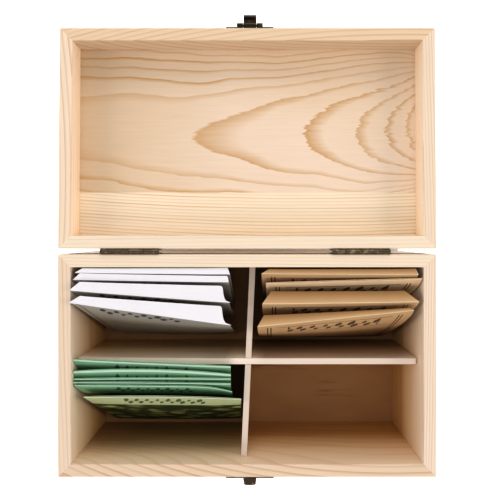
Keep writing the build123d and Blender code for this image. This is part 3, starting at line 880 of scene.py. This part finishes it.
@dataclass
class Packet:
    """One packet in millimetres and degrees: the middle of its top fold, and its shape."""

    x: float
    y: float
    height: float               # of the top fold above the floor of the box
    turn: float                 # of the top, anticlockwise seen from above
    setback: float              # how far the top leans back behind the foot
    belly: float                # front to back where the seeds swell it most
    flap: tuple = None          # how far the open flap reaches back at its left and right
    tapers: tuple = (5.5, 3.0)  # how far the ends of the flap slope inwards
    corner: float = 0.6         # radius of the flap's right corner
    lean: float = 1.0           # below 1 the lean grows towards the top
    bow: float = 0.0            # how far the middle of the top stands back
    curl: float = 0.0           # how far the right corner rolls forward
    flare: float = 0.0          # how much wider the top is
    inset: float = 1.0          # below 1 the flap's right side steps in close to the fold
    foot: float = 0.0           # how far to the right the foot stands


packets = {
    "white_packet_1": Packet(
        -68.1, 66.4, 78.0, -0.6, 31.0, 2.2, (2.8, 4.2), (5.5, 1.4), corner=0.9, foot=3.0,
    ),
    "white_packet_2": Packet(
        -68.9, 61.2, 79.2, -0.9, 31.0, 2.2, (4.2, 4.0), (4.6, 0.6), corner=1.6, foot=3.5,
    ),
    "white_packet_3": Packet(
        -68.9, 50.5, 82.4, -4.4, 29.0, 5.0, (6.0, 11.0), (6.6, 6.2), corner=2.5, flare=3.0,
        inset=0.3, foot=4.0,
    ),
    "white_packet_4": Packet(
        -68.5, 38.2, 83.3, -8.0, 31.0, 5.0, (5.2, 12.0), (6.8, 8.2), corner=2.5, flare=4.4,
        inset=0.3, foot=5.0,
    ),
    "kraft_packet_1": Packet(
        66.4, 66.2, 79.4, -0.3, 29.5, 3.4, (2.8, 3.6), (5.5, 1.5), lean=0.75,
    ),
    "kraft_packet_2": Packet(69.6, 61.0, 78.0, 1.7, 29.5, 3.4, lean=0.7),
    "kraft_packet_3": Packet(
        66.9, 45.6, 79.8, 0.8, 29.5, 5.0, (8.4, 7.5), (6.5, 10.0), lean=0.75,
    ),
    "kraft_packet_4": Packet(63.2, 34.6, 80.4, 6.0, 29.5, 5.0, (7.0, 1.5), lean=0.75),
    "green_packet_1": Packet(-69.1, 1.3, 75.0, -2.5, 38.0, 2.8, lean=0.7),
    "green_packet_2": Packet(-69.1, -5.9, 75.0, -1.1, 38.0, 3.2, lean=0.62, bow=2.4),
    "green_packet_3": Packet(-69.1, -10.2, 75.0, 0.1, 38.0, 2.8, lean=0.8, bow=0.6),
    "green_packet_4": Packet(-69.1, -13.2, 75.0, -0.5, 38.0, 2.3, lean=0.8, bow=0.4),
    "green_packet_5": Packet(-68.1, -15.6, 75.0, -0.7, 38.0, 2.3, lean=0.85, bow=0.5, curl=4.0),
    "green_packet_6": Packet(-61.5, -24.2, 75.0, -0.7, 43.5, 5.0, bow=1.2),
}
print(len(packets), "packets to fold,", sum(p.flap is not None for p in packets.values()), "open")

# %% [markdown]
# ## The flat blank
#
# A real packet is cut from one sheet and folded at the top.  The blank is made of flat
# grids that share their edges, one for the back, one for the front and one for the
# flap, with the fold on the X axis.  A box squeezed into shape would be quicker, but
# its front and back wouldn't be one sheet, and a print couldn't run over the fold.

# %% The flat blank


def flat_sheet(width, low, high, rows):
    """A grid of paper lying flat, from low to high along Y."""
    bpy.ops.mesh.primitive_grid_add(
        x_subdivisions=COLUMNS, y_subdivisions=rows, size=1, location=(0, (low + high) / 2, 0),
    )
    bpy.ops.transform.resize(value=(width, high - low, 1))
    bpy.ops.object.transform_apply()
    return bpy.context.object


def blank(name, width, height, with_flap):
    """Back, front and flap as one sheet.  The fold at the top lies on the X axis."""
    start_clean()
    sheets = [flat_sheet(width, -2 * height, -height, ROWS), flat_sheet(width, -height, 0, ROWS)]
    if with_flap:
        sheets.append(flat_sheet(width, 0, FLAP_BLANK, FLAP_ROWS))
    for sheet in sheets:
        sheet.select_set(True)
    bpy.ops.object.join()
    bpy.ops.object.mode_set(mode="EDIT")
    bpy.ops.mesh.select_all(action="SELECT")
    bpy.ops.mesh.remove_doubles(threshold=0.01 * MM)
    bpy.ops.object.mode_set(mode="OBJECT")
    piece = bpy.context.object
    piece.name = name
    mesh = piece.data
    # More columns near the two ends, where corners are round and paper curls
    for vertex in mesh.vertices:
        vertex.co.x = width / 2 * math.sin(math.pi * vertex.co.x / width)
    uv = mesh.uv_layers.active.data
    for loop in mesh.loops:
        flat = mesh.vertices[loop.vertex_index].co
        uv[loop.index].uv = (flat.x / PRINT_SCALE, -flat.y / PRINT_SCALE)
    return piece


print("blanks have", COLUMNS, "columns and", ROWS, "rows a side")

# %% [markdown]
# ## Folding
#
# Each point of the blank knows how far it lies across the sheet and how far below the
# fold, and a function says where that point is on the standing packet.  Real paper is
# folded by bending it, and hooks or shape keys could do that, but a function gives the
# same fold each run and can be read.  The paper gets its thickness last.

# %% Where a point of the blank goes


def directions(turn):
    """Along a line turned from +X, and forward, square to it."""
    return Vector((math.cos(turn), math.sin(turn), 0)), Vector((math.sin(turn), -math.cos(turn), 0))


def half_depth(packet, edge, share):
    """Half of front to back: none at the glued sides and foot, most at the belly."""
    unglued = (1 - edge ** 6) * (1 - (1 - share) ** 12)
    swell = max(0.0, 1 - edge ** 2) ** 0.8
    swell *= (share / BELLY_SHARE) ** BELLY_RISE
    swell *= ((1 - share) / (1 - BELLY_SHARE)) ** BELLY_FALL
    return PAPER * 0.6 + (SEAM / 2 - PAPER) * unglued + (packet.belly * MM - SEAM) / 2 * swell


def on_body(packet, width, across, share, side):
    """A point of the front (side 1) or back (side -1), at a share of the height."""
    share = min(max(share, 0.0), 1.0)
    edge = across / (width / 2)     # -1 at the left side, 1 at the right
    along, forward = directions(math.radians(packet.turn) * share)
    back = packet.y - packet.setback * (1 - share) ** packet.lean
    sideways = packet.x + packet.foot * (1 - share)
    middle = Vector((sideways, back, packet.height * share)) * MM + Vector((0, 0, floor_top))
    flare = packet.flare * MM * max(0.0, (share - FLARE_FROM) / (1 - FLARE_FROM)) ** 2
    narrow = 1 - ((1 - share) * FOOT_NARROWING - flare) / width
    bow = packet.bow * MM * (1 - edge ** 2) * share ** 4
    rolled = max(0.0, (edge - CURL_FROM) / (1 - CURL_FROM)) ** 2
    curl = packet.curl * MM * rolled * share ** 4
    out = side * half_depth(packet, edge, share) - bow + curl
    return middle + along * (across * narrow) + forward * out - Vector((0, 0, curl * 0.5))


def on_flap(packet, width, across, reach):
    """A point of the open flap, which tapers and droops a little behind the fold."""
    fold = on_body(packet, width, across, 1.0, 1)
    edge = across / (width / 2)
    left, right = (depth * MM for depth in packet.flap)
    depth = left + (right - left) * (edge + 1) / 2 + SEAM / 2
    taper = (packet.tapers[0] if edge < 0 else packet.tapers[1]) * MM
    corner = packet.corner * MM
    short = min(max(0.0, corner - (1 - edge) * width / 2), corner)
    depth -= corner - math.sqrt(corner ** 2 - short ** 2)
    along, forward = directions(math.radians(packet.turn))
    droop = FLAP_DROOP * (0.5 + 0.5 * reach)
    out = -forward * math.cos(droop) - Vector((0, 0, math.sin(droop)))
    inwards = reach if edge < 0 else reach ** packet.inset
    return fold + out * (depth * reach) - along * (edge * taper * inwards)


def folded(packet, width, flat):
    """Where a point of the flat blank lies on the standing packet."""
    if flat.y > 0.01 * MM:
        return on_flap(packet, width, flat.x, flat.y / FLAP_BLANK)
    below = -flat.y / (packet.height * MM)
    if below <= 1:
        return on_body(packet, width, flat.x, 1 - below, 1)
    share = (below - 1) * (BACK_SHORTER if packet.flap else 1.0)
    return on_body(packet, width, flat.x, share, -1)


print("the blank can be folded")

# %% [markdown]
# ## The three stacks
#
# The box holds four white, four kraft and six green packets.  One packet could be
# copied along its stack, but then all would lean and turn alike, so each is folded by
# itself.  Each is a piece of its own that rides on its CAD node, because each can be
# drawn out of the box, and the plain solid of the frame is hidden behind it.  One
# kraft packet gets paler paper, as painted light, and one green packet is olive.

# %% The three stacks


def fold_packet(node, packet, width, finish):
    """One packet: blank, fold, paper thickness, finish."""
    piece = blank(node + "_paper", width, packet.height * MM, packet.flap is not None)
    for vertex in piece.data.vertices:
        vertex.co = folded(packet, width, vertex.co)
    solid = piece.modifiers.new("paper", "SOLIDIFY")
    solid.thickness = PAPER
    solid.offset = 0
    bpy.ops.object.modifier_apply(modifier=solid.name)
    bpy.ops.object.shade_smooth_by_angle(angle=math.radians(35))
    piece.data.materials.clear()
    piece.data.materials.append(finish)
    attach(piece, node)
    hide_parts(node)


stock = {
    "white": (WHITE, white_finish, "white_paper"),
    "kraft": (KRAFT, kraft_finish, "kraft_paper"),
    "green": (GREEN, green_finish, "green_paper"),
}
other_finish = {
    # kraft_packet_2 gets the paler kraft of painted light
    "kraft_packet_2": painted_light_kraft_finish,
    "green_packet_6": olive_finish,
}
for node, packet in packets.items():
    width, finish, slot = stock[node.split("_")[0]]
    fold_packet(node, packet, width, other_finish.get(node, finish))
print(len(packets), "packets folded")
